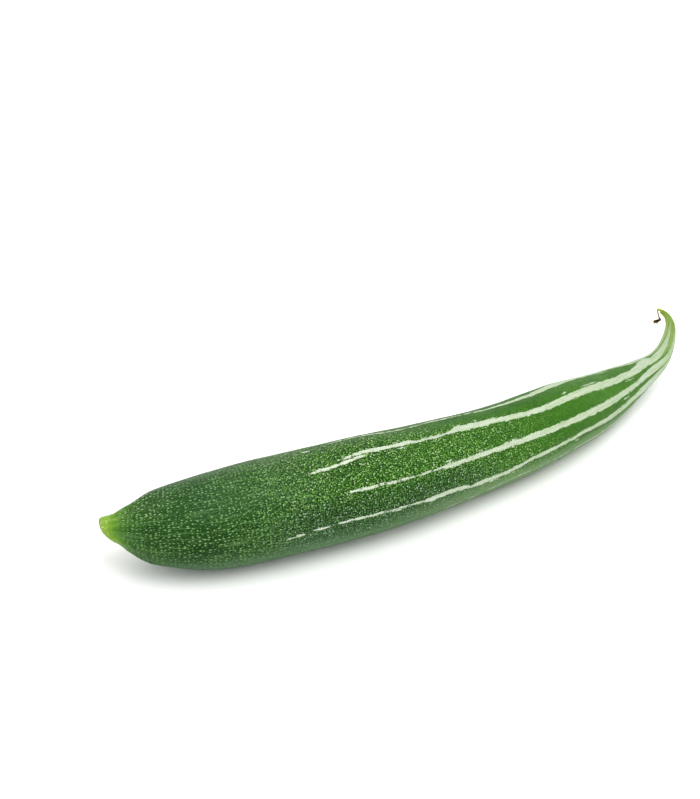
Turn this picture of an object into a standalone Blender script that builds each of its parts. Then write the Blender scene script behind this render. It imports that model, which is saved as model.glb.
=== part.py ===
"""Snake gourd: one whole fruit as picked, lying on its belly.

The fruit is a long curved body: a blunt neck at the stem end, a thick speckled
barrel, and a thin beak that rises off the ground and hooks over at the flower end.
A short cut stub of the stem stays on the neck, and the withered flower still hangs
from the tip of the beak.

Frame: metres, +Z up, the ground at z = 0. The longest extent lies along +X, with the
stem end at -X and the beak at +X. The origin is at the bottom centre of the whole.
"""

import math

import bmesh
import bpy
import numpy as np
from mathutils import Vector

MM = 0.001

# ---------------------------------------------------------------- driving dimensions
# Stations along the axis, from the cut end of the stem to the tip of the beak, in mm
# and degrees. The heading is the direction of the axis seen from above. Along the
# belly the axis is as high as the radius, so the skin touches the ground there.
STATIONS = (
    # along, radius, heading, height of the axis
    (0, 4.5, -50, 20.1),
    (6, 6.2, -43, 21.4),
    (13, 10.5, -38, 22.1),
    (24, 17.0, -31, 22.2),
    (36, 20.0, -28, 22.4),
    (54, 22.8, -19, 22.8),
    (80, 24.0, -12, 24.0),
    (130, 23.9, -8, 23.9),
    (150, 23.0, -3, 23.0),
    (200, 20.5, 1, 20.5),
    (250, 18.6, 10, 18.6),
    (290, 14.4, 14, 14.4),
    (320, 9.7, 13.5, 13.6),
    (340, 6.5, 19, 13.6),
    (356, 4.6, 29.5, 15.8),
    (370, 3.2, 43, 20.6),
    (382, 2.0, 63, 22.8),
    (390, 1.2, 100, 24.0),
)

STEM_LENGTH = 6.0       # mm along, where the stub of the stem ends and the neck begins
STEM_CUT = 1.5          # mm along, the middle of the slanting cut
STEM_CHAMFER = 1.0      # mm, the worn edge round the cut
CUT_SLANT = 22.0        # degrees, how far the cut leans from square to the axis
CUT_LONG_SIDE = -30.0   # degrees round from the top, where the stub is longest
JOIN_GAP = 0.35         # mm, clearance between the pieces that grew together
BELLY_FLAT = 0.3        # mm, how far the belly is pressed flat where it rests

FRUIT_SIDES = 32        # facets round the fruit
STEM_SIDES = 24         # facets round the stem stub
NECK_STEP = 2.0         # mm between rings on the neck
BARREL_STEP = 6.0       # mm between rings on the barrel
BEAK_STEP = 3.0         # mm between rings on the beak
NECK_END = 60.0         # mm along, where the neck has flared out to the barrel
BEAK_START = 288.0      # mm along, where the beak begins

# The withered flower hangs from the tip of the beak: its thread, a dark knot, and the
# shrunken petals at the end. Offsets from the tip and radii are in mm.
FLOWER_POINTS = (
    # x, y, z, radius
    (-0.35, 0.45, 0.05, 0.75),
    (-0.75, 0.60, -0.50, 0.80),
    (-0.70, 0.50, -1.30, 0.50),
    (-0.50, 0.30, -2.20, 0.38),
    (-0.20, 0.10, -3.60, 0.35),
    (0.25, -0.20, -5.00, 0.38),
    (0.55, -0.40, -5.80, 0.60),
    (0.55, -0.40, -6.40, 0.85),
    (0.20, -0.25, -7.00, 0.60),
    (-0.50, 0.10, -7.40, 0.50),
    (-1.10, 0.40, -7.70, 0.95),
    (-1.70, 0.70, -8.00, 1.25),
    (-2.30, 1.00, -8.10, 0.95),
    (-2.80, 1.25, -8.05, 0.45),
)


# ------------------------------------------------------------------ scene and materials
def clear_scene():
    for obj in list(bpy.data.objects):
        bpy.data.objects.remove(obj)


def material(name, colour, roughness):
    mat = bpy.data.materials.new(name)
    mat.use_nodes = True
    shader = mat.node_tree.nodes["Principled BSDF"]
    shader.inputs["Base Color"].default_value = (*colour, 1.0)
    shader.inputs["Roughness"].default_value = roughness
    shader.inputs["Metallic"].default_value = 0.0
    mat.diffuse_color = (*colour, 1.0)
    return mat


# --------------------------------------------------------------------- the fruit's axis
def monotone_curve(knots, values, at):
    """Cubic through the knots that never overshoots between two of them."""
    step = np.diff(knots)
    rise = np.diff(values) / step
    slope = np.zeros(len(knots))
    slope[0], slope[-1] = rise[0], rise[-1]
    for i in range(1, len(knots) - 1):
        if rise[i - 1] * rise[i] > 0.0:
            before = 2.0 * step[i] + step[i - 1]
            after = step[i] + 2.0 * step[i - 1]
            slope[i] = (before + after) / (before / rise[i - 1] + after / rise[i])
    i = np.clip(np.searchsorted(knots, at, side="right") - 1, 0, len(step) - 1)
    t = (at - knots[i]) / step[i]
    start = (1 + 2 * t) * (1 - t) ** 2 * values[i] + t * (1 - t) ** 2 * step[i] * slope[i]
    end = t * t * (3 - 2 * t) * values[i + 1] + t * t * (t - 1) * step[i] * slope[i + 1]
    return start + end


def axis_samples():
    """Distance along, radius and position of the axis at every half millimetre."""
    table = np.array(STATIONS, dtype=float)
    along = np.arange(0.0, table[-1, 0] + 0.25, 0.5)
    radius = monotone_curve(table[:, 0], table[:, 1], along)
    heading = np.radians(monotone_curve(table[:, 0], table[:, 2], along))
    height = monotone_curve(table[:, 0], table[:, 3], along)
    climb = np.gradient(height, along)
    level = np.sqrt(1.0 - climb ** 2)
    step_x = np.cos(heading) * level
    step_y = np.sin(heading) * level
    x = np.concatenate(([0.0], np.cumsum(0.25 * (step_x[1:] + step_x[:-1]))))
    y = np.concatenate(([0.0], np.cumsum(0.25 * (step_y[1:] + step_y[:-1]))))
    return along, radius, np.column_stack((x, y, height))


AXIS_ALONG, AXIS_RADIUS, AXIS_POINTS = axis_samples()


def axis_point(at):
    return Vector([float(np.interp(at, AXIS_ALONG, AXIS_POINTS[:, k])) for k in range(3)])


def axis_radius(at):
    return float(np.interp(at, AXIS_ALONG, AXIS_RADIUS))


def axis_frame(at):
    """Direction of the axis, the side of the section to the right, and its upper side."""
    last = AXIS_ALONG[-1]
    ahead = axis_point(min(at + 0.5, last)) - axis_point(max(at - 0.5, 0.0))
    ahead.normalize()
    side = ahead.cross(Vector((0.0, 0.0, 1.0))).normalized()
    return ahead, side, side.cross(ahead)


# ------------------------------------------------------------------------------ lofting
def loft(name, sections, sides):
    """Closed body through round sections, each (centre, side, up, radius) in mm."""
    bm = bmesh.new()
    rings = []
    for centre, side, up, radius in sections:
        ring = []
        for k in range(sides):
            turn = 2.0 * math.pi * k / sides
            offset = side * math.sin(turn) + up * math.cos(turn)
            ring.append(bm.verts.new((centre + offset * radius) * MM))
        rings.append(ring)
    for here, there in zip(rings, rings[1:]):
        for k in range(sides):
            n = (k + 1) % sides
            bm.faces.new((here[k], here[n], there[n], there[k]))
    bm.faces.new(reversed(rings[0]))
    bm.faces.new(rings[-1])
    bmesh.ops.recalc_face_normals(bm, faces=bm.faces)
    mesh = bpy.data.meshes.new(name)
    bm.to_mesh(mesh)
    bm.free()
    return mesh


def axis_section(at, radius=None):
    _, side, up = axis_frame(at)
    size = axis_radius(at) if radius is None else radius
    return axis_point(at), side, up, size


def place(name, mesh, mat, collection):
    mesh.shade_smooth()
    mesh.materials.append(mat)
    obj = bpy.data.objects.new(name, mesh)
    collection.objects.link(obj)
    return obj


# --------------------------------------------------------------------------- sub-parts
def ring_places():
    start = STEM_LENGTH + JOIN_GAP
    end = AXIS_ALONG[-1]
    neck = np.arange(start, NECK_END, NECK_STEP)
    barrel = np.arange(NECK_END, BEAK_START, BARREL_STEP)
    beak = np.arange(BEAK_START, end - 0.5 * BEAK_STEP, BEAK_STEP)
    return [*neck, *barrel, *beak, end]


def press_belly(mesh):
    """Flattens the strip of skin that the fruit rests on, and keeps the body closed."""
    bm = bmesh.new()
    bm.from_mesh(mesh)
    cut = bmesh.ops.bisect_plane(
        bm,
        geom=[*bm.verts, *bm.edges, *bm.faces],
        plane_co=(0.0, 0.0, BELLY_FLAT * MM),
        plane_no=(0.0, 0.0, -1.0),
        clear_outer=True,
    )
    rim = [item for item in cut["geom_cut"] if isinstance(item, bmesh.types.BMEdge)]
    bmesh.ops.contextual_create(bm, geom=rim)
    bmesh.ops.recalc_face_normals(bm, faces=bm.faces)
    for face in bm.faces:
        if face.normal.z < -0.9999:
            face.smooth = False
    bm.to_mesh(mesh)
    bm.free()


def fruit(collection):
    skin = material("fruit_skin", (0.085, 0.20, 0.045), 0.38)
    mesh = loft("fruit", [axis_section(at) for at in ring_places()], FRUIT_SIDES)
    obj = place("fruit", mesh, skin, collection)
    press_belly(mesh)
    return obj


def slanting(section, at, degrees):
    """The section leaned back over its axis, so that its long side comes first."""
    centre, side, up, radius = section
    ahead, _, _ = axis_frame(at)
    back = ahead * math.tan(math.radians(degrees))
    turn = math.radians(CUT_LONG_SIDE)
    return centre, side - back * math.sin(turn), up - back * math.cos(turn), radius


def stem_stub(collection):
    cut_stem = material("cut_stem", (0.32, 0.50, 0.07), 0.55)
    rim = STEM_CUT + STEM_CHAMFER
    waist = (rim + STEM_LENGTH) / 2.0
    face = axis_section(STEM_CUT, axis_radius(STEM_CUT) - STEM_CHAMFER)
    sections = [
        slanting(face, STEM_CUT, CUT_SLANT),
        slanting(axis_section(rim), rim, CUT_SLANT),
        slanting(axis_section(waist), waist, CUT_SLANT / 2.0),
        axis_section(STEM_LENGTH),
    ]
    return place("stem_stub", loft("stem_stub", sections, STEM_SIDES), cut_stem, collection)


def dried_flower(collection):
    """A thin tube through the hanging points, thick at its knots."""
    withered = material("withered_flower", (0.10, 0.06, 0.02), 0.85)
    tip = axis_point(AXIS_ALONG[-1])
    ahead, _, _ = axis_frame(AXIS_ALONG[-1])
    root = tip + ahead * JOIN_GAP
    curve = bpy.data.curves.new("dried_flower_path", "CURVE")
    curve.dimensions = "3D"
    curve.bevel_depth = MM
    curve.bevel_resolution = 3
    curve.use_fill_caps = True
    spline = curve.splines.new("POLY")
    spline.points.add(len(FLOWER_POINTS) - 1)
    for point, (x, y, z, radius) in zip(spline.points, FLOWER_POINTS):
        point.co = (*((root + Vector((x, y, z))) * MM), 1.0)
        point.radius = radius
    helper = bpy.data.objects.new("dried_flower_path", curve)
    collection.objects.link(helper)
    bpy.context.view_layer.update()
    mesh = bpy.data.meshes.new_from_object(helper)
    bpy.data.objects.remove(helper)
    weld(mesh)
    mesh.name = "dried_flower"
    return place("dried_flower", mesh, withered, collection)


def weld(mesh):
    bm = bmesh.new()
    bm.from_mesh(mesh)
    bmesh.ops.remove_doubles(bm, verts=bm.verts, dist=0.00001)
    bmesh.ops.recalc_face_normals(bm, faces=bm.faces)
    bm.to_mesh(mesh)
    bm.free()


def centre_on_ground(objects):
    """Puts the bottom centre of the whole at the origin."""
    points = [vert.co for obj in objects for vert in obj.data.vertices]
    low = Vector([min(point[k] for point in points) for k in range(3)])
    high = Vector([max(point[k] for point in points) for k in range(3)])
    middle = (low + high) / 2.0
    shift = Vector((-middle.x, -middle.y, -low.z))
    for obj in objects:
        for vert in obj.data.vertices:
            vert.co += shift
        obj.data.update()


def main():
    clear_scene()
    collection = bpy.data.collections.new("snake_gourd")
    bpy.context.scene.collection.children.link(collection)
    pieces = [fruit(collection), stem_stub(collection), dried_flower(collection)]
    centre_on_ground(pieces)


main()
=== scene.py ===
import math

import bpy
import numpy as np
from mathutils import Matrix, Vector, noise


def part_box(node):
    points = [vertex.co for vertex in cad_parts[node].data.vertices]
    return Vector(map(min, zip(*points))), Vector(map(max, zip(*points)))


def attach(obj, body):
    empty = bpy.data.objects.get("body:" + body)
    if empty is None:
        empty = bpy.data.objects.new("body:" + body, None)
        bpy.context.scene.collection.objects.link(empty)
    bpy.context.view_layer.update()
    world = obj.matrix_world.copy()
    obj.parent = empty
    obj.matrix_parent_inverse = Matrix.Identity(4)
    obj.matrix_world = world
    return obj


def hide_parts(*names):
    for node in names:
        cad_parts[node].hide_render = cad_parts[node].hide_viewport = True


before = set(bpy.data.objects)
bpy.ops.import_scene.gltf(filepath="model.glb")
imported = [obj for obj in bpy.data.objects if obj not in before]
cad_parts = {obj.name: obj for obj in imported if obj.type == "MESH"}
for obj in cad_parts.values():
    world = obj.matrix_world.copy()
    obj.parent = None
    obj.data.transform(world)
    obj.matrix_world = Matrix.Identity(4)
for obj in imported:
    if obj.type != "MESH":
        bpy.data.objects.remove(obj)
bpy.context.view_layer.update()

# The looks of a snake gourd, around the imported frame. The fruit, the cut stem and the
# withered flower each get a detailed mesh on the axis that the CAD solids follow.
# The axis and the patterns on the skin are worked out in millimetres.

MM = 0.001

# ------------------------------------------------------------------- driving dimensions
# The stations of the CAD model's axis, repeated: distance along from the cut end of the
# stem, radius, heading seen from above, height of the axis, in mm and degrees.
STATIONS = np.array((
    (0, 4.5, -50, 20.1),
    (6, 6.2, -43, 21.4),
    (13, 10.5, -38, 22.1),
    (24, 17.0, -31, 22.2),
    (36, 20.0, -28, 22.4),
    (54, 22.8, -19, 22.8),
    (80, 24.0, -12, 24.0),
    (130, 23.9, -8, 23.9),
    (150, 23.0, -3, 23.0),
    (200, 20.5, 1, 20.5),
    (250, 18.6, 10, 18.6),
    (290, 14.4, 14, 14.4),
    (320, 9.7, 13.5, 13.6),
    (340, 6.5, 19, 13.6),
    (356, 4.6, 29.5, 15.8),
    (370, 3.2, 43, 20.6),
    (382, 2.0, 63, 22.8),
    (390, 1.2, 100, 24.0),
), dtype=float)

FRUIT_LENGTH = float(STATIONS[-1, 0])
STEM_LENGTH = 6.0
BELLY_FLAT = 0.3        # how far the belly is pressed flat, as in the CAD model
# The stem's worn end: how much fuller and lower it is than the CAD model's, and how far
# along that reaches.
STUB_SWELL = 0.5
STUB_DROOP = 0.25
STUB_WORN = 8.0

AXIS_STEP = 0.5
# The rows of the fruit's mesh: their steps, where they change, and how many points round.
FRUIT_COLUMNS = 228
NECK_STEP = 0.7
BARREL_STEP = 1.05
BEAK_STEP = 0.8
TIP_STEP = 0.2
NECK_END = 60.0
BEAK_START = 288.0
TIP_SHARE = 0.55        # radius of the last row, as a share of the axis's radius there

# Pale stripes: (along, angle round from the top towards the bend's outer side, width)
# in mm, degrees and mm. The first six show from the front, the rest lie behind.
STRIPES = (
    ((97, -10, 0.0), (100, -11, 1.1), (104, -12, 0.5), (112, -17, 0.5), (120, -21, 1.5),
     (126, -22, 1.9), (134, -19, 1.3), (142, -15, 1.5), (158, -15, 1.4), (170, -18, 1.5),
     (185, -18, 1.5), (200, -14, 1.7), (212, -13, 1.9), (225, -11, 2.8), (235, -11, 3.4),
     (245, -14, 4.4), (258, -17, 5.3), (270, -22, 6.0), (290, -27, 6.2), (304, -28, 6.0),
     (314, -25, 6.2), (322, -22, 6.0), (330, -26, 5.2), (336, -30, 4.2), (345, -37, 2.8),
     (355, -40, 2.0), (366, -42, 1.4), (378, -44, 0.7)),
    ((94, 27, 0.0), (98, 27, 1.7), (108, 25, 2.1), (116, 23, 2.2), (122, 21, 1.9),
     (128, 20, 0.8)),
    ((109, 19, 0.0), (114, 18, 0.9), (119, 17, 1.6), (124, 16, 2.5), (132, 16, 3.0),
     (134, 17, 2.2), (139, 17, 2.2), (143, 16, 3.0), (149, 16, 2.6), (152, 18, 1.7),
     (172, 17, 2.0), (178, 14, 4.6), (184, 15, 4.2), (192, 16, 3.9), (200, 17, 3.8),
     (204, 19, 3.2), (215, 22, 3.3), (230, 26, 3.4),
     (265, 25, 4.2), (280, 25, 4.3), (300, 27, 4.0), (311, 27, 3.9), (317, 24, 4.4),
     (322, 18, 5.3), (330, 12, 5.6), (336, 19, 3.8), (341, 14, 4.0), (346, 11, 3.9),
     (352, 4, 3.5), (360, 0, 2.6), (368, -5, 1.6), (377, -8, 0.7)),
    ((110, 59, 0.0), (113, 59, 1.5), (118, 59, 1.8), (128, 59, 1.6), (135, 60, 1.3),
     (160, 59, 1.5), (165, 59, 2.4), (175, 59, 2.9), (190, 58, 2.8), (204, 58, 3.3),
     (208, 58, 2.6), (215, 58, 3.4), (224, 59, 3.7), (240, 61, 3.4), (260, 63, 3.8),
     (280, 61, 3.7), (300, 60, 2.9), (310, 60, 2.7), (320, 56, 3.1), (330, 54, 3.5),
     (340, 56, 3.3), (350, 62, 2.3), (366, 66, 1.5), (378, 66, 0.8)),
    ((103, 92, 0.0), (107, 92, 1.5), (122, 93, 1.9), (128, 93, 1.5), (148, 94, 1.6),
     (152, 94, 2.7), (166, 93, 3.2), (171, 94, 2.8), (176, 97, 1.8), (180, 97, 3.2),
     (200, 96, 2.9), (215, 90, 2.6), (250, 88, 2.5), (280, 90, 3.2), (300, 89, 3.1),
     (310, 89, 3.9), (320, 92, 5.2), (330, 92, 5.2), (340, 95, 4.3), (350, 99, 3.3),
     (366, 102, 1.8), (378, 102, 0.8)),
    ((160, 124, 0.0), (170, 124, 1.1), (190, 118, 1.0), (208, 114, 1.0), (236, 115, 0.9),
     (262, 118, 1.4), (290, 118, 2.0), (302, 119, 3.0), (312, 122, 3.8), (322, 128, 3.8),
     (335, 134, 3.2), (350, 138, 2.4), (378, 138, 0.8)),
    ((118, 156, 0.0), (124, 156, 1.4), (170, 153, 2.4), (230, 150, 3.0), (300, 153, 3.6),
     (352, 165, 3.2), (378, 165, 0.9)),
    ((90, 193, 0.0), (96, 192, 1.4), (140, 189, 2.6), (190, 186, 3.2), (250, 188, 3.8),
     (305, 190, 4.2), (352, 197, 3.4), (378, 197, 0.9)),
    ((124, 226, 0.0), (130, 226, 1.2), (175, 224, 2.6), (220, 221, 3.0), (300, 224, 3.8),
     (352, 228, 3.2), (378, 228, 0.9)),
    ((100, 266, 0.0), (106, 265, 1.5), (150, 261, 2.8), (185, 259, 3.8), (240, 262, 3.6),
     (300, 262, 4.0), (352, 260, 3.2), (378, 260, 0.9)),
    ((114, 303, 0.0), (120, 302, 1.4), (160, 300, 2.2), (210, 303, 3.2), (260, 298, 3.8),
     (300, 296, 4.0), (352, 293, 3.2), (378, 293, 0.9)),
)

# Thin broken dashes beside and ahead of the stripes: start, end, angle at the start and
# at the end, width in the middle. At its ends a dash keeps a share of that width.
DASH_ENDS = 0.3
DASHES = (
    (80, 91, 97, 94, 2.0),
    (93, 101, 93, 93, 1.6),
    (136, 147, 22, 22, 0.7),
    (98, 103, -8, -10, 0.8),
    (109, 119, 90, 91, 0.7),
    (132, 138, 96, 96, 0.9),
    (150, 158, 98, 98, 0.9),
    (162, 169, 54, 52, 1.1),
    (180, 190, 52, 53, 0.8),
    (188, 192, 8, 8, 0.9),
    (199, 209, 52, 53, 0.9),
    (184, 194, 102, 102, 0.8),
    (202, 206, 101, 101, 0.9),
    (247, 252, 17, 13, 1.2),
    (244, 249, 96, 96, 0.8),
    (262, 278, 15, 13, 1.1),
    (299, 309, 39, 44, 0.8),
    (328, 335, 31, 33, 0.7),
    (292, 298, 72, 74, 0.7),
    (286, 297, -12, -9, 0.8),
    (74, 84, 192, 193, 0.9),
    (84, 97, 264, 266, 0.9),
    (101, 111, 305, 303, 0.8),
    (112, 121, 258, 259, 0.8),
    (186, 196, 231, 229, 1.0),
    (240, 258, 270, 269, 0.9),
)

CAMERA_TARGET = Vector((0.00325, 0.08951, 0.0))
CAMERA_DISTANCE = 1.0226
CAMERA_AZIMUTH = math.radians(-34.5)
CAMERA_ELEVATION = math.radians(30.0)
CAMERA_LENS = 85.0
CAMERA_SENSOR = 36.0

FLOOR_REACH = 4.0
WORLD_STRENGTH = 1.25
LIGHT_PLACE = (0.1, -0.45, 1.1)
LIGHT_TARGET = (0.0, 0.0, 0.0)
LIGHT_SIZE = (1.0, 0.8)
LIGHT_POWER = 7.0


# ------------------------------------------------------------------------------- camera
def direction(azimuth, elevation):
    level = math.cos(elevation)
    return Vector((math.sin(azimuth) * level, -math.cos(azimuth) * level, math.sin(elevation)))


def make_camera():
    data = bpy.data.cameras.new("camera")
    data.lens = CAMERA_LENS
    data.sensor_width = CAMERA_SENSOR
    camera = bpy.data.objects.new("camera", data)
    bpy.context.scene.collection.objects.link(camera)
    back = direction(CAMERA_AZIMUTH, CAMERA_ELEVATION)
    camera.location = CAMERA_TARGET + back * CAMERA_DISTANCE
    camera.rotation_euler = (-back).to_track_quat("-Z", "Y").to_euler()
    bpy.context.scene.camera = camera


make_camera()


# --------------------------------------------------------------------------- the axis
def full_turn(count):
    return np.linspace(0.0, 2.0 * np.pi, count, endpoint=False)


def monotone_curve(knots, values, at):
    """Cubic through the knots that never overshoots between two of them."""
    step = np.diff(knots)
    rise = np.diff(values) / step
    slope = np.zeros(len(knots))
    slope[0], slope[-1] = rise[0], rise[-1]
    for i in range(1, len(knots) - 1):
        if rise[i - 1] * rise[i] > 0.0:
            before = 2.0 * step[i] + step[i - 1]
            after = step[i] + 2.0 * step[i - 1]
            slope[i] = (before + after) / (before / rise[i - 1] + after / rise[i])
    i = np.clip(np.searchsorted(knots, at, side="right") - 1, 0, len(step) - 1)
    t = (at - knots[i]) / step[i]
    start = (1 + 2 * t) * (1 - t) ** 2 * values[i] + t * (1 - t) ** 2 * step[i] * slope[i]
    end = t * t * (3 - 2 * t) * values[i + 1] + t * t * (t - 1) * step[i] * slope[i + 1]
    return start + end


class Axis:
    """The line that the fruit grew along, with its radius and section directions."""

    def __init__(self):
        knots, radius, heading, height = STATIONS.T
        half_step = AXIS_STEP / 2.0
        self.along = np.arange(0.0, knots[-1] + half_step, AXIS_STEP)
        self.end = self.along[-1]
        worn_end = np.exp(-(self.along / STUB_WORN) ** 2)
        self.radii = monotone_curve(knots, radius, self.along) + STUB_SWELL * worn_end
        turn = np.radians(monotone_curve(knots, heading, self.along))
        z = monotone_curve(knots, height, self.along) - STUB_DROOP * worn_end
        level = np.sqrt(1.0 - np.gradient(z, self.along) ** 2)
        step_x, step_y = np.cos(turn) * level, np.sin(turn) * level
        x = np.concatenate(([0.0], np.cumsum(half_step * (step_x[1:] + step_x[:-1]))))
        y = np.concatenate(([0.0], np.cumsum(half_step * (step_y[1:] + step_y[:-1]))))
        self.points = np.column_stack((x, y, z))
        ahead = np.gradient(self.points, axis=0)
        self.ahead = ahead / np.linalg.norm(ahead, axis=1)[:, None]
        side = np.cross(self.ahead, (0.0, 0.0, 1.0))
        self.side = side / np.linalg.norm(side, axis=1)[:, None]
        self.up = np.cross(self.side, self.ahead)

    def sample(self, values, at):
        if values.ndim == 1:
            return np.interp(at, self.along, values)
        return np.stack([np.interp(at, self.along, v) for v in values.T], axis=-1)

    def radius(self, at):
        return self.sample(self.radii, at)

    def skin(self, at, angle, radius):
        """Points in mm at distance at, turned angle from the top, radius from the axis."""
        centre = self.sample(self.points, at)
        out = self.sample(self.side, at) * np.sin(angle)[..., None]
        out = out + self.sample(self.up, at) * np.cos(angle)[..., None]
        return centre + out * np.asarray(radius)[..., None]

    def line_up(self):
        """Shifts the axis so that the bare fruit fills the CAD fruit's box."""
        rows = np.linspace(STEM_LENGTH, self.end, 400)
        at, angle = np.broadcast_arrays(rows[:, None], full_turn(64)[None, :])
        bare = self.skin(at, angle, self.radius(at)).reshape(-1, 3)
        low, high = (np.array(corner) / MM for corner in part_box("fruit"))
        shift = (low + high - bare.min(0) - bare.max(0)) / 2.0
        shift[2] = -BELLY_FLAT
        self.points += shift


AXIS = Axis()
AXIS.line_up()


# ----------------------------------------------------------------------- mesh and nodes
def smooth_step(low, high, value):
    t = np.clip((value - low) / (high - low), 0.0, 1.0)
    return t * t * (3.0 - 2.0 * t)


def noise_at(points, size):
    """Smooth noise, about -1 to 1, with lumps of that size in mm."""
    flat = np.asarray(points, float).reshape(-1, 3) / size
    values = [noise.noise(Vector(point)) for point in flat.tolist()]
    return np.array(values).reshape(np.shape(points)[:-1])


def lofted_mesh(name, *grids):
    """Closed tubes through rings of points in mm, with a vertex at each end of a tube."""
    points, faces = [], []
    for grid in grids:
        rows, columns = grid.shape[:2]
        here = np.arange(columns)
        there = (here + 1) % columns
        start = (np.arange(rows - 1) * columns)[:, None]
        quads = np.stack((start + here, start + there, start + columns + there,
                          start + columns + here), axis=-1).reshape(-1, 4) + len(points)
        begin = len(points) + rows * columns
        last = begin - columns
        faces += quads.tolist()
        first = (here + len(points)).tolist()
        pairs = list(zip(first, first[1:] + first[:1]))
        faces += [(begin, b, a) for a, b in pairs]
        shift = last - len(points)
        faces += [(begin + 1, a + shift, b + shift) for a, b in pairs]
        points += (grid.reshape(-1, 3) * MM).tolist()
        points += [(grid[0].mean(0) * MM).tolist(), (grid[-1].mean(0) * MM).tolist()]
    mesh = bpy.data.meshes.new(name)
    mesh.from_pydata(points, [], faces)
    mesh.validate()
    mesh.shade_smooth()
    return mesh


def add_attribute(mesh, name, values):
    kind, key = ("FLOAT_VECTOR", "vector") if values.ndim == 2 else ("FLOAT", "value")
    attribute = mesh.attributes.new(name, kind, "POINT")
    attribute.data.foreach_set(key, values.astype(np.float32).ravel())


def add_piece(name, mesh, material, node):
    mesh.materials.append(material)
    piece = bpy.data.objects.new(name, mesh)
    bpy.context.scene.collection.objects.link(piece)
    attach(piece, "root")
    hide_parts(node)
    return piece


class Nodes:
    """Builds a material's node tree. A number, a colour or a socket may feed any input."""

    def __init__(self, name):
        self.material = bpy.data.materials.new(name)
        self.material.use_nodes = True
        self.tree = self.material.node_tree
        self.shader = self.tree.nodes["Principled BSDF"]

    def feed(self, socket, value):
        if isinstance(value, bpy.types.NodeSocket):
            self.tree.links.new(value, socket)
        else:
            socket.default_value = value

    def surface(self, **inputs):
        for name, value in inputs.items():
            self.feed(self.shader.inputs[name.replace("_", " ")], value)
        return self.material

    def node(self, kind, inputs=None, **settings):
        made = self.tree.nodes.new(kind)
        for key, value in settings.items():
            setattr(made, key, value)
        for key, value in (inputs or {}).items():
            self.feed(made.inputs[key], value)
        return made

    def attribute(self, name, output="Fac"):
        return self.node("ShaderNodeAttribute", attribute_name=name).outputs[output]

    def math(self, operation, *values, clamp=False):
        made = self.node("ShaderNodeMath", operation=operation, use_clamp=clamp)
        for socket, value in zip(made.inputs, values):
            self.feed(socket, value)
        return made.outputs[0]

    def add(self, *values):
        total = values[0]
        for value in values[1:]:
            total = self.math("ADD", total, value)
        return total

    def times(self, *values):
        product = values[0]
        for value in values[1:]:
            product = self.math("MULTIPLY", product, value)
        return product

    def around_zero(self, value, reach):
        """A 0 to 1 pattern turned into -reach to reach."""
        return self.times(self.add(value, -0.5), 2.0 * reach)

    def vector(self, operation, a, b=None):
        made = self.node("ShaderNodeVectorMath", operation=operation)
        self.feed(made.inputs[0], a)
        if b is not None:
            self.feed(made.inputs[1], b)
        return made.outputs[0]

    def channel(self, colour, index=0):
        return self.node("ShaderNodeSeparateColor", {"Color": colour}).outputs[index]

    def noise(self, vector, scale, detail=2.0, roughness=0.5):
        inputs = {"Vector": vector, "Scale": scale, "Detail": detail, "Roughness": roughness}
        return self.node("ShaderNodeTexNoise", inputs).outputs["Fac"]

    def cells(self, vector, scale, evenness=0.0):
        """Voronoi cells over the flat coordinate."""
        inputs = {"Vector": vector, "Scale": scale, "Randomness": 1.0 - evenness}
        return self.node("ShaderNodeTexVoronoi", inputs, voronoi_dimensions="2D").outputs

    def span(self, value, low, high, to_low=0.0, to_high=1.0):
        """Maps low..high smoothly to to_low..to_high, held at the ends."""
        inputs = {"Value": value, "From Min": low, "From Max": high,
                  "To Min": to_low, "To Max": to_high}
        made = self.node("ShaderNodeMapRange", inputs, interpolation_type="SMOOTHSTEP")
        return made.outputs["Result"]

    def between(self, value, start, full, fading, end):
        """1 from full to fading, falling smoothly to 0 at start and at end."""
        return self.times(self.span(value, start, full), self.span(value, end, fading))

    def mix(self, factor, a, b, blend="MIX"):
        made = self.node("ShaderNodeMix", data_type="RGBA", blend_type=blend)
        for index, value in ((0, factor), (6, a), (7, b)):
            self.feed(made.inputs[index], value)
        return made.outputs[2]

    def paint(self, factor, colour, cover):
        """The colour covered by another one, as far as factor says."""
        return self.mix(factor, colour, (*cover, 1.0))

    def tint(self, factor, colour, gain):
        """The colour multiplied channel by channel by gain, as far as factor says."""
        return self.mix(factor, colour, (*gain, 1.0), "MULTIPLY")

    def ramp(self, value, stops, longest):
        """Colour by value: stops are (value, linear colour)."""
        made = self.node("ShaderNodeValToRGB", {"Fac": self.math("DIVIDE", value, longest)})
        elements = made.color_ramp.elements
        while len(elements) < len(stops):
            elements.new(0.5)
        for element, (place, colour) in zip(elements, stops):
            element.position = place / longest
            element.color = (*colour, 1.0)
        return made.outputs["Color"]

    def bump(self, height, distance):
        inputs = {"Height": height, "Distance": distance, "Strength": 1.0}
        return self.node("ShaderNodeBump", inputs).outputs["Normal"]


def linear(red, green, blue):
    """Linear RGB from the eight-bit values of a display colour."""
    shares = (red / 255.0, green / 255.0, blue / 255.0)
    return tuple(c / 12.92 if c < 0.04045 else ((c + 0.055) / 1.055) ** 2.4 for c in shares)


# ------------------------------------------------------------------------- fruit's mesh
def fruit_rows():
    neck = np.arange(STEM_LENGTH, NECK_END, NECK_STEP)
    barrel = np.arange(NECK_END, BEAK_START, BARREL_STEP)
    beak = np.arange(BEAK_START, AXIS.end - 2.0 * TIP_STEP, BEAK_STEP)
    return np.concatenate((neck, barrel, beak, [AXIS.end - TIP_STEP, AXIS.end]))


def wrapped(angle):
    return (angle + np.pi) % (2.0 * np.pi) - np.pi


FAR_OUTSIDE = -30.0     # the depth where no stripe is near


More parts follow.
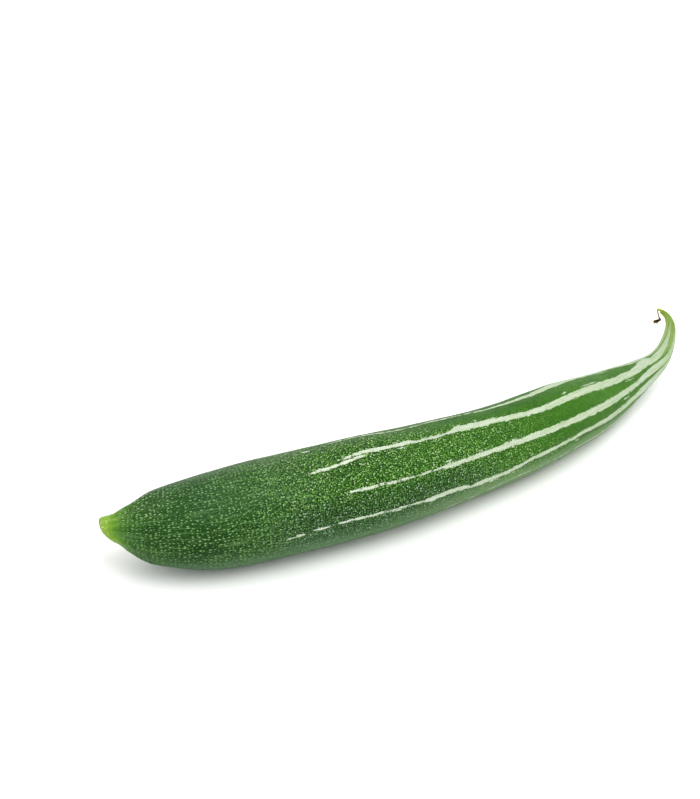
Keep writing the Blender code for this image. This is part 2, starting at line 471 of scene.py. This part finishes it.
def stripe_depth(at, angle, radius):
    """How deep a point lies inside the nearest pale stripe, in mm, negative outside."""
    depth = np.full(at.shape, FAR_OUTSIDE)
    bands = [np.array(stripe, float) for stripe in STRIPES]
    for start, end, angle_a, angle_b, width in DASHES:
        middle = (start + end) / 2.0
        bands.append(np.array((
            (start, angle_a, DASH_ENDS * width),
            (middle, (angle_a + angle_b) / 2.0, width),
            (end, angle_b, DASH_ENDS * width),
        )))
    for band in bands:
        centre = np.radians(np.interp(at, band[:, 0], band[:, 1]))
        half = np.interp(at, band[:, 0], band[:, 2]) / 2.0
        across = np.abs(wrapped(angle - centre)) * radius
        beyond = np.maximum(band[0, 0] - at, at - band[-1, 0]).clip(0.0)
        depth = np.maximum(depth, half - np.hypot(across, beyond))
    return depth


# The relief of the skin. Ribs: height in mm, how many go round, their turn in radians and
# how they wind in radians per mm. Lumps: height, size and where in the noise, in mm.
NECK_RIBS = ((0.32, 10.0, 0.0, 0.05), (0.22, 5.0, 0.7, 0.0))
BODY_RIBS = ((0.10, 10.0, 0.0, -0.01),)
BEAK_RIBS = ((0.16, 10.0, 0.4, 0.0),)
LUMPS = ((0.30, 34.0, 100.0), (0.16, 11.0, 300.0))


def rib_height(ribs, at, angle):
    return sum(size * np.cos(count * angle + turn + wind * at)
               for size, count, turn, wind in ribs)


def relief(at, angle, bare):
    """Height of the skin over its bare radius, in mm."""
    neck = np.exp(-((at - 17.0) / 12.0) ** 2)
    body = smooth_step(25.0, 70.0, at) * (1.0 - smooth_step(300.0, 360.0, at))
    beak = smooth_step(285.0, 340.0, at) * (1.0 - smooth_step(372.0, 388.0, at))
    ribs = neck * rib_height(NECK_RIBS, at, angle)
    ribs += body * rib_height(BODY_RIBS, at, angle)
    ribs += beak * rib_height(BEAK_RIBS, at, angle)
    lumps = sum(height * noise_at(bare + shift, size) for height, size, shift in LUMPS)
    lumps *= smooth_step(6.0, 30.0, at) * (1.0 - 0.7 * smooth_step(290.0, 370.0, at))
    return ribs + lumps


def fruit_mesh():
    rows = fruit_rows()
    at, angle = np.broadcast_arrays(rows[:, None], full_turn(FRUIT_COLUMNS)[None, :])
    radius = AXIS.radius(at)
    radius[-1] *= TIP_SHARE
    bare = AXIS.skin(at, angle, radius)
    grid = AXIS.skin(at, angle, radius + relief(at, angle, bare))
    grid[..., 2] = np.maximum(grid[..., 2], 0.0)
    mesh = lofted_mesh("fruit_skin", grid)
    place = np.stack((at, radius * np.sin(angle), radius * np.cos(angle)), axis=-1)
    ends = ((rows[0], 0.0, 0.01), (rows[-1], 0.0, 0.01))
    add_attribute(mesh, "place", np.vstack((place.reshape(-1, 3), ends)))
    depth = stripe_depth(at, angle, radius).ravel()
    add_attribute(mesh, "stripe", np.concatenate((depth, (FAR_OUTSIDE, 0.0))))
    return mesh


# --------------------------------------------------------------------- fruit's material
SKIN_COLOURS = (
    (0.0, linear(124, 160, 54)),
    (7.0, linear(118, 156, 44)),
    (11.0, linear(88, 130, 38)),
    (17.0, linear(52, 94, 28)),
    (26.0, linear(36, 74, 18)),
    (45.0, linear(27, 67, 14)),
    (95.0, linear(29, 72, 8)),
    (150.0, linear(35, 83, 5)),
    (230.0, linear(50, 99, 7)),
    (300.0, linear(58, 106, 18)),
    (325.0, linear(72, 114, 30)),
    (342.0, linear(92, 130, 46)),
    (352.0, linear(140, 160, 92)),
    (366.0, linear(140, 158, 90)),
    (378.0, linear(128, 152, 68)),
    (390.0, linear(138, 152, 46)),
)
STRIPE_COLOURS = (
    (90.0, linear(206, 212, 198)),
    (150.0, linear(188, 196, 180)),
    (250.0, linear(176, 187, 163)),
    (300.0, linear(170, 184, 158)),
    (322.0, linear(176, 186, 168)),
    (345.0, linear(174, 186, 162)),
    (362.0, linear(166, 179, 148)),
    (376.0, linear(146, 160, 100)),
    (383.0, linear(132, 146, 66)),
    (390.0, linear(140, 142, 34)),
)
SPECKLE = linear(120, 171, 76)
# Painted highlight: the whitish colour of glints on the speckles.
PAINTED_GLINT = linear(178, 200, 152)
NECK_SPECKLE = linear(118, 162, 98)
# Waxy bloom with painted sheen and painted reflection of the white floor.
BLOOM_AND_SHEEN = linear(96, 132, 98)
# Painted reflection of the white floor, low on the side.
PAINTED_LOW_REFLECTION = linear(118, 142, 92)

# Gains on red, green and blue where a pattern is strong.
PATCH_GAIN = (0.66, 0.78, 0.82)
MOTTLE_GAIN = (0.62, 0.76, 0.60)
GRAIN_GAIN = (0.16, 0.32, 0.12)
BEAK_STREAK_GAIN = (0.52, 0.68, 0.36)
# Painted bluish shade, low on the outer side.
PAINTED_LOW_SHADE_GAIN = (0.74, 0.72, 1.18)
STRIPE_THREAD_GAIN = (0.70, 0.80, 0.62)
STRIPE_GRAIN_GAIN = (0.66, 0.77, 0.60)
STRIPE_STREAK_GAIN = (0.74, 0.84, 0.62)

# Where each pattern starts, is full, starts to fade and ends: in mm along the fruit, and
# for the band in mm round from the top.
NECK_ZONE = (7.0, 14.0, 50.0, 120.0)
# Painted highlights on the top of the neck.
PAINTED_SPARKLE_ZONE = (7.0, 10.0, 20.0, 36.0)
BARREL_ZONE = (35.0, 110.0, 310.0, 350.0)
# Painted bluish shade: where along, and its band round from the top.
PAINTED_LOW_SHADE_ZONE = (55.0, 100.0, 165.0, 215.0)
PAINTED_LOW_SHADE_BAND = (20.0, 30.0, 40.0, 50.0)
# Painted reflection of the white floor.
PAINTED_LOW_REFLECTION_ZONE = (120.0, 190.0, 290.0, 320.0)
# Bloom with painted sheen and painted floor reflection.
BLOOM_AND_SHEEN_ZONE = (14.0, 40.0, 320.0, 345.0)

# Radii in mm that turn angles into widths for the patterns, and for the ends' streaks.
ROUND = 22.0
END_ROUND = 9.0
SKIN_BUMP = 0.18        # height of the fine bumps, in mm
SKIN_SHINE = 0.09


class SkinPatterns:
    """Coordinates over the skin in mm, and the noises that its colours share."""

    def __init__(self, n):
        self.place = n.attribute("place", "Vector")
        parts = n.node("ShaderNodeSeparateXYZ", {"Vector": self.place}).outputs
        self.along, self.height = parts["X"], parts["Z"]
        self.width = n.times(n.math("ARCTAN2", parts["Y"], parts["Z"]), ROUND)
        flat = n.node("ShaderNodeCombineXYZ", {"X": self.along, "Y": self.width})
        self.flat = flat.outputs[0]
        self.ragged = self.drawn_out(n, ROUND, 0.34)
        lines = self.drawn_out(n, ROUND, 0.07)
        end_lines = self.drawn_out(n, END_ROUND, 0.06)
        self.streaks = n.noise(end_lines, 0.55, 3.0, 0.6)
        self.threads = n.noise(lines, 1.3, 3.0, 0.6)
        long_place = n.vector("MULTIPLY", self.place, (0.5, 1.0, 1.0))
        self.patches = n.noise(long_place, 0.075, 3.0, 0.55)
        self.mottle = n.noise(self.place, 0.42, 4.0, 0.62)
        self.grain = n.noise(self.place, 1.5, 3.0, 0.7)
        self.fine_streaks = n.noise(end_lines, 1.5, 2.0, 0.6)
        self.beak = n.span(self.along, 308.0, 345.0)

    def drawn_out(self, n, radius, share):
        """A coordinate for lines that keep their count from end to end."""
        turned = n.vector("NORMALIZE", n.vector("MULTIPLY", self.place, (0.0, 1.0, 1.0)))
        ring = n.vector("MULTIPLY", turned, (0.0, radius, radius))
        return n.vector("ADD", ring, n.vector("MULTIPLY", self.place, (share, 0.0, 0.0)))


def skin_green(n, skin):
    """The green along the fruit, running in streaks at both ends."""
    reach = n.span(skin.along, 14.0, 30.0, 5.0, 14.0)
    shifted = n.add(skin.along, n.times(n.around_zero(skin.streaks, 1.0), reach))
    green = n.ramp(shifted, SKIN_COLOURS, FRUIT_LENGTH)
    green = n.tint(n.span(skin.patches, 0.35, 0.68, 0.0, 0.9), green, PATCH_GAIN)
    green = n.tint(n.span(skin.mottle, 0.40, 0.66, 0.0, 0.7), green, MOTTLE_GAIN)
    streaky = n.times(skin.beak, n.span(skin.fine_streaks, 0.44, 0.62))
    return n.tint(streaky, green, BEAK_STREAK_GAIN)


def barrel_speckles(n, skin):
    """Speckles packed over the barrel: all of them, the brightest ones as painted glints, and
    the barrel.
    """
    packed = n.cells(n.vector("MULTIPLY", skin.flat, (0.88, 1.0, 1.0)), 1.22)
    chance = n.channel(packed["Color"])
    broken = n.add(packed["Distance"], n.around_zero(skin.grain, 0.5))
    dot = n.times(n.span(broken, 0.52, 0.12), n.span(chance, 0.0, 1.0, 0.12, 1.0))
    # They reach further along low down, and less far past the top on the inner side.
    under = n.span(skin.height, 12.0, -8.0, 0.0, 30.0)
    over = n.span(skin.width, 10.0, -6.0, 0.0, 65.0)
    fading = n.add(n.math("SUBTRACT", skin.along, under), over)
    barrel = n.between(skin.along, *BARREL_ZONE)
    barrel = n.times(barrel, n.span(fading, 258.0, 165.0, 0.12, 1.0))
    # Painted highlights: the brightest speckles get a whitish glint.
    painted_glints = n.times(dot, n.span(chance, 0.84, 0.96), n.span(barrel, 0.3, 0.8))
    return n.times(dot, barrel), painted_glints, barrel


def neck_speckles(n, skin):
    """Speckles in rows on the neck: all of them, painted highlights on those over the top, and
    the neck.
    """
    rows = n.cells(n.vector("MULTIPLY", skin.flat, (0.66, 1.0, 1.0)), 0.78, 0.2)
    size = n.span(n.channel(rows["Color"]), 0.0, 1.0, 0.14, 0.38)
    broken = n.add(rows["Distance"], n.around_zero(skin.grain, 0.25))
    dash = n.span(n.math("DIVIDE", broken, size), 1.0, 0.3)
    neck = n.between(skin.along, *NECK_ZONE)
    # Painted highlights on speckles over the top of the neck, where the light falls.
    chosen = n.span(n.channel(rows["Color"], 1), 0.35, 0.55)
    over_top = n.span(skin.width, 22.0, 12.0)
    painted_sparkle = n.times(dash, n.between(skin.along, *PAINTED_SPARKLE_ZONE), chosen, over_top)
    return n.times(dash, neck), painted_sparkle, neck


def speckled(n, skin, green):
    """The green with dark grain, pale speckles and painted glint highlights, and how high the
    speckles stand.
    """
    dots, painted_glints, barrel = barrel_speckles(n, skin)
    dashes, painted_sparkle, neck = neck_speckles(n, skin)
    grainy = n.add(barrel, n.times(neck, 0.75))
    green = n.tint(n.times(n.span(skin.grain, 0.455, 0.58), grainy), green, GRAIN_GAIN)
    green = n.paint(dots, green, SPECKLE)
    # Painted highlights, on the barrel and on the neck's top.
    green = n.paint(n.times(painted_glints, 0.8), green, PAINTED_GLINT)
    fibres = n.times(n.span(skin.threads, 0.52, 0.64), neck, 0.22)
    green = n.paint(fibres, green, NECK_SPECKLE)
    green = n.paint(n.times(dashes, 0.85), green, NECK_SPECKLE)
    green = n.paint(n.times(painted_sparkle, 0.8), green, PAINTED_GLINT)
    return green, n.add(n.times(dots, 0.7), n.times(dashes, 0.9))


def painted_low_shade_and_reflection(n, skin, green):
    """Painted bluish shade low on the outer side, and a paler strip of painted floor reflection
    under it.
    """
    band = n.between(skin.width, *PAINTED_LOW_SHADE_BAND)
    # Painted bluish shade low on the outer side.
    painted_shade = n.times(band, n.between(skin.along, *PAINTED_LOW_SHADE_ZONE))
    green = n.tint(painted_shade, green, PAINTED_LOW_SHADE_GAIN)
    # Painted reflection of the white floor under the shade.
    low = n.span(skin.width, 36.0, 43.0)
    painted_reflection = n.times(low, n.between(skin.along, *PAINTED_LOW_REFLECTION_ZONE), 0.5)
    return n.paint(painted_reflection, green, PAINTED_LOW_REFLECTION)


def bloom_and_painted_sheen(n, skin, green):
    """A thin waxy bloom with painted sheen over the upper side of the neck, and painted floor
    reflection along the lower side and its rim.
    """
    # Painted sheen over the top of the neck.
    painted_top_sheen = n.times(n.span(skin.height, 6.0, 20.0), n.span(skin.along, 120.0, 60.0), 0.09)
    growing = n.span(skin.along, 110.0, 200.0, 0.12, 0.34)
    # Painted reflection of the white floor along the lower side and its rim.
    painted_low_reflection = n.times(n.span(skin.height, 2.0, -12.0), growing)
    painted_rim_reflection = n.times(n.span(skin.height, -5.0, -17.0), n.span(skin.along, 220.0, 100.0), 0.4)
    bloom_and_sheen = n.times(n.add(painted_top_sheen, painted_low_reflection, painted_rim_reflection), n.between(skin.along, *BLOOM_AND_SHEEN_ZONE))
    return n.paint(n.times(bloom_and_sheen, n.span(skin.patches, 0.3, 0.6, 0.6, 1.0)), green, BLOOM_AND_SHEEN)


def striped(n, skin, green):
    """Pale stripes with torn edges and a grain of their own, and where the stripes are."""
    torn = n.around_zero(n.noise(skin.ragged, 0.75, 4.0, 0.7), 1.5)
    fine_place = n.vector("MULTIPLY", skin.place, (0.8, 1.0, 1.0))
    teeth = n.around_zero(n.noise(fine_place, 1.5, 3.0, 0.7), 0.9)
    calm = n.span(skin.along, 300.0, 350.0, 1.0, 0.4)
    depth = n.add(n.attribute("stripe"), n.times(n.add(torn, teeth), calm))
    depth = n.add(depth, n.span(skin.along, 220.0, 290.0, -0.2, 0.0))
    stripe = n.span(depth, -0.10, 0.25)
    pale = n.ramp(skin.along, STRIPE_COLOURS, FRUIT_LENGTH)
    pale = n.tint(n.span(skin.threads, 0.42, 0.66, 0.0, 0.8), pale, STRIPE_THREAD_GAIN)
    pale = n.tint(n.span(skin.grain, 0.46, 0.66, 0.0, 0.9), pale, STRIPE_GRAIN_GAIN)
    streaky = n.times(skin.beak, n.span(skin.fine_streaks, 0.46, 0.64))
    pale = n.tint(streaky, pale, STRIPE_STREAK_GAIN)
    return n.mix(stripe, green, pale), stripe


def skin_material():
    n = Nodes("fruit_skin")
    skin = SkinPatterns(n)
    green, raised = speckled(n, skin, skin_green(n, skin))
    # Painted shade, painted floor reflection and painted sheen are laid over the speckled green.
    green = bloom_and_painted_sheen(n, skin, painted_low_shade_and_reflection(n, skin, green))
    colour, stripe = striped(n, skin, green)
    height = n.add(raised, n.times(skin.grain, 0.8), n.times(skin.threads, 0.4))
    rough = n.add(n.span(skin.mottle, 0.3, 0.7, 0.42, 0.52), n.times(stripe, 0.08))
    return n.surface(
        Base_Color=colour,
        Roughness=rough,
        Normal=n.bump(height, SKIN_BUMP * MM),
        Specular_IOR_Level=SKIN_SHINE,
    )


# ------------------------------------------------------------------------ stem and flower
CUT_SLANT = 22.0        # degrees from square to the axis
CUT_LONG_SIDE = math.radians(-30.0)
STEM_COLUMNS = 96
# Waves round the stem: share of the radius, how many go round and their turn in radians.
STEM_WAVES = ((0.018, 5.0, 0.3), (0.012, 13.0, 0.0))
STEM_BUMP = 0.12        # mm
# Rings of the stem: along, share of the radius, share of the slant, depth of the ring
# under the cut, and a running number that colours it, 0 to 1 over the cut face.
STEM_RINGS = (
    (1.15, 0.08, 1.0, 0.20, 0.08),
    (1.20, 0.20, 1.0, 0.26, 0.20),
    (1.22, 0.32, 1.0, 0.20, 0.32),
    (1.25, 0.44, 1.0, 0.08, 0.44),
    (1.30, 0.56, 1.0, 0.14, 0.56),
    (1.38, 0.67, 1.0, 0.02, 0.68),
    (1.50, 0.76, 1.0, 0.0, 0.80),
    (1.66, 0.83, 1.0, 0.06, 0.90),
    (1.90, 0.90, 1.0, 0.0, 0.98),
    (2.25, 0.96, 0.95, 0.0, 1.04),
    (2.70, 1.00, 0.85, 0.0, 1.12),
    (3.30, 1.01, 0.66, 0.0, 1.30),
    (4.00, 1.00, 0.46, 0.0, 1.50),
    (4.80, 1.00, 0.26, 0.0, 1.70),
    (5.60, 1.00, 0.10, 0.0, 1.90),
    (6.30, 0.99, 0.00, 0.0, 2.00),
)


def stem_mesh():
    angles = full_turn(STEM_COLUMNS)
    wavy = 1.0 + sum(size * np.cos(count * angles + turn) for size, count, turn in STEM_WAVES)
    rings = []
    for along, share, slant, depth, _ in STEM_RINGS:
        radius = AXIS.radius(along) * share * wavy
        lean = np.tan(np.radians(CUT_SLANT * slant)) * radius * np.cos(angles - CUT_LONG_SIDE)
        at = np.full(STEM_COLUMNS, along + depth)
        ahead = AXIS.sample(AXIS.ahead, at)
        rings.append(AXIS.skin(at, angles, radius) - ahead * lean[:, None])
    mesh = lofted_mesh("stem_cut", np.array(rings))
    tone = np.repeat([ring[4] for ring in STEM_RINGS], STEM_COLUMNS)
    add_attribute(mesh, "tone", np.concatenate((tone, (0.0, 2.0))))
    return mesh


def stem_material():
    n = Nodes("cut_stem")
    tone = n.attribute("tone")
    spot = n.node("ShaderNodeTexCoord").outputs["Object"]
    speck = n.noise(spot, 1300.0, 3.0, 0.65)
    blotch = n.noise(spot, 420.0, 3.0, 0.6)
    colour = n.ramp(n.add(tone, n.around_zero(speck, 0.06)), (
        (0.0, linear(150, 160, 104)),
        (0.30, linear(140, 154, 84)),
        (0.52, linear(98, 124, 50)),
        (0.62, linear(154, 166, 106)),
        (0.86, linear(140, 150, 80)),
        (0.95, linear(122, 106, 58)),
        (1.06, linear(124, 140, 60)),
        (1.30, linear(128, 160, 54)),
        (2.0, linear(120, 156, 50)),
    ), 2.0)
    colour = n.tint(n.span(speck, 0.42, 0.68, 0.0, 0.8), colour, (0.74, 0.82, 0.62))
    colour = n.tint(n.span(blotch, 0.45, 0.65, 0.0, 0.8), colour, (0.78, 0.90, 0.70))
    flecks = n.span(n.noise(spot, 900.0, 2.0, 0.5), 0.56, 0.66)
    flecks = n.times(flecks, n.span(tone, 0.9, 1.1), 0.7)
    colour = n.paint(flecks, colour, linear(176, 192, 126))
    return n.surface(
        Base_Color=colour,
        Roughness=n.span(speck, 0.3, 0.7, 0.45, 0.6),
        Normal=n.bump(n.add(speck, n.times(blotch, 2.0)), STEM_BUMP * MM),
        Specular_IOR_Level=0.2,
    )


# The withered flower, from the tip of the beak: offset from the tip and radius in mm,
# and how far it has withered, 0 yellow to 1 dark brown.
THREAD = np.array((
    (-0.05, -0.60, -0.10, 0.85, 0.0),
    (-0.30, 0.10, 0.50, 0.78, 0.0),
    (-0.90, 0.70, 1.15, 0.66, 0.0),
    (-1.55, 1.10, 1.05, 0.62, 0.05),
    (-1.75, 1.15, 0.30, 0.46, 0.2),
    (-1.50, 0.95, -0.90, 0.38, 0.3),
    (-1.15, 0.75, -2.40, 0.37, 0.35),
    (-0.70, 0.45, -3.90, 0.40, 0.45),
    (-0.40, 0.25, -4.70, 0.62, 0.8),
    (-0.40, 0.25, -5.30, 0.84, 1.0),
    (-0.75, 0.40, -5.90, 0.56, 1.0),
    (-1.45, 0.75, -6.30, 0.42, 0.9),
    (-2.25, 1.10, -6.65, 0.30, 0.9),
))
THREAD_ROWS = 60
THREAD_COLUMNS = 14
THREAD_KNOTS = 0.22     # how much thicker or thinner its knots are, as a share
# Shrunken petals: where each leaves the thread and where it ends, how wide it is in the
# middle, the turn of its blade in degrees, and how far it has withered.
PETALS = (
    ((-0.60, 0.35, -5.70), (-3.55, 1.75, -7.80), 0.95, 20.0, 0.6),
    ((-0.85, 0.45, -5.85), (-3.85, 1.15, -6.50), 0.80, 80.0, 1.0),
    ((-1.25, 0.65, -6.20), (-3.25, 2.65, -6.90), 0.85, -40.0, 0.6),
    ((-1.15, 0.65, -6.10), (-2.45, 0.05, -7.60), 0.75, 130.0, 0.85),
    ((-1.45, 0.75, -6.30), (-3.65, 2.05, -6.20), 0.60, 50.0, 0.45),
)
PETAL_THICKNESS = 0.13
PETAL_SAG = 0.45
PETAL_CURL = 0.55
PETAL_CRUMPLE = 0.16
PETAL_TWIST = 1.1       # radians from where it leaves the thread to its end
PETAL_ROWS = 18
PETAL_COLUMNS = 16
FLOWER_BUMP = 0.08      # mm
ACROSS = (0.35, 0.90, 0.25)     # a direction that no thread or petal runs along


def resampled(rows, count):
    """Smooth rows of values through the given ones, at even shares of the way."""
    knots = np.arange(len(rows), dtype=float)
    at = np.linspace(0.0, knots[-1], count)
    return np.column_stack([monotone_curve(knots, column, at) for column in rows.T])


def crossways(path):
    """Two unit directions square to a path at each of its points."""
    ahead = np.gradient(path, axis=0)
    ahead /= np.linalg.norm(ahead, axis=1)[:, None]
    side = np.cross(ahead, ACROSS)
    side /= np.linalg.norm(side, axis=1)[:, None]
    return side, np.cross(ahead, side)


def tube(path, radius, columns):
    side, up = crossways(path)
    angles = full_turn(columns)
    ring = side[:, None] * np.cos(angles)[:, None] + up[:, None] * np.sin(angles)[:, None]
    return path[:, None] + ring * radius[:, None, None]


def petal(start, end, width, turn, number):
    """A thin crumpled blade, curled over its length."""
    share = np.linspace(0.0, 1.0, PETAL_ROWS)
    start, end = np.array(start), np.array(end)
    sag = np.array((0.0, 0.0, PETAL_SAG)) * np.sin(np.pi * share)[:, None]
    path = start + (end - start) * share[:, None] + sag
    half = width * (0.18 + 0.82 * np.sin(np.pi * share ** 0.8) ** 0.7) * (1.0 - 0.5 * share ** 4)
    side, up = crossways(path)
    twist = math.radians(turn) + PETAL_TWIST * share
    across = side * np.cos(twist)[:, None] + up * np.sin(twist)[:, None]
    over = up * np.cos(twist)[:, None] - side * np.sin(twist)[:, None]
    angles = full_turn(PETAL_COLUMNS)
    u = np.cos(angles) * half[:, None]
    lift = PETAL_CURL * (u ** 2) / width
    lift += PETAL_CRUMPLE * np.sin(7.0 * share[:, None] + 5.0 * u + number)
    lift += PETAL_THICKNESS * np.sin(angles) * np.sqrt(half / width)[:, None]
    return path[:, None] + across[:, None] * u[..., None] + over[:, None] * lift[..., None]


def flower_mesh():
    tip = AXIS.points[-1]
    thread = resampled(THREAD, THREAD_ROWS)
    path = thread[:, :3] + tip
    grid = tube(path, thread[:, 3], THREAD_COLUMNS)
    knots = 1.0 + THREAD_KNOTS * noise_at(grid, 0.7)
    grid = path[:, None] + (grid - path[:, None]) * knots[..., None]
    grids = [grid]
    tones = [np.repeat(thread[:, 4], THREAD_COLUMNS), (thread[0, 4], thread[-1, 4])]
    for number, (start, end, width, turn, tone) in enumerate(PETALS):
        blade = petal(start, end, width, turn, number) + tip
        grids.append(blade + 0.10 * noise_at(blade, 0.5)[..., None])
        tones.append(np.full(blade.shape[0] * blade.shape[1] + 2, tone))
    mesh = lofted_mesh("withered_flower", *grids)
    add_attribute(mesh, "tone", np.concatenate(tones))
    return mesh


def flower_material():
    n = Nodes("withered_flower")
    spot = n.node("ShaderNodeTexCoord").outputs["Object"]
    speck = n.noise(spot, 2600.0, 3.0, 0.6)
    tone = n.add(n.attribute("tone"), n.around_zero(speck, 0.25))
    colour = n.ramp(tone, (
        (0.0, linear(156, 162, 44)),
        (0.25, linear(150, 130, 36)),
        (0.5, linear(112, 88, 30)),
        (0.8, linear(72, 48, 20)),
        (1.0, linear(40, 25, 12)),
    ), 1.0)
    return n.surface(
        Base_Color=colour,
        Roughness=0.75,
        Normal=n.bump(speck, FLOWER_BUMP * MM),
        Specular_IOR_Level=0.2,
    )


def plain_material(name, colour, roughness):
    return Nodes(name).surface(Base_Color=(*colour, 1.0), Roughness=roughness)


# ---------------------------------------------------------------------- floor and lights
def make_floor():
    mesh = bpy.data.meshes.new("floor")
    signs = ((-1, -1), (1, -1), (1, 1), (-1, 1))
    corners = [(x * FLOOR_REACH, y * FLOOR_REACH, 0.0) for x, y in signs]
    mesh.from_pydata(corners, [], [(0, 1, 2, 3)])
    mesh.materials.append(plain_material("white_floor", (0.9, 0.9, 0.9), 0.9))
    floor = bpy.data.objects.new("floor", mesh)
    bpy.context.scene.collection.objects.link(floor)


def make_light(name, place, target, size, power):
    data = bpy.data.lights.new(name, "AREA")
    data.shape = "RECTANGLE"
    data.size, data.size_y = size
    data.energy = power
    light = bpy.data.objects.new(name, data)
    light.location = place
    light.rotation_euler = (Vector(place) - Vector(target)).to_track_quat("Z", "Y").to_euler()
    bpy.context.scene.collection.objects.link(light)


def make_world(strength):
    world = bpy.data.worlds.new("studio")
    world.use_nodes = True
    background = world.node_tree.nodes["Background"]
    background.inputs["Color"].default_value = (1.0, 1.0, 1.0, 1.0)
    background.inputs["Strength"].default_value = strength
    bpy.context.scene.world = world


make_floor()
make_world(WORLD_STRENGTH)
make_light("overhead", LIGHT_PLACE, LIGHT_TARGET, LIGHT_SIZE, LIGHT_POWER)
bpy.context.scene.view_settings.view_transform = "Standard"

add_piece("fruit_skin", fruit_mesh(), skin_material(), "fruit")
add_piece("stem_cut", stem_mesh(), stem_material(), "stem_stub")
add_piece("withered_flower", flower_mesh(), flower_material(), "dried_flower")
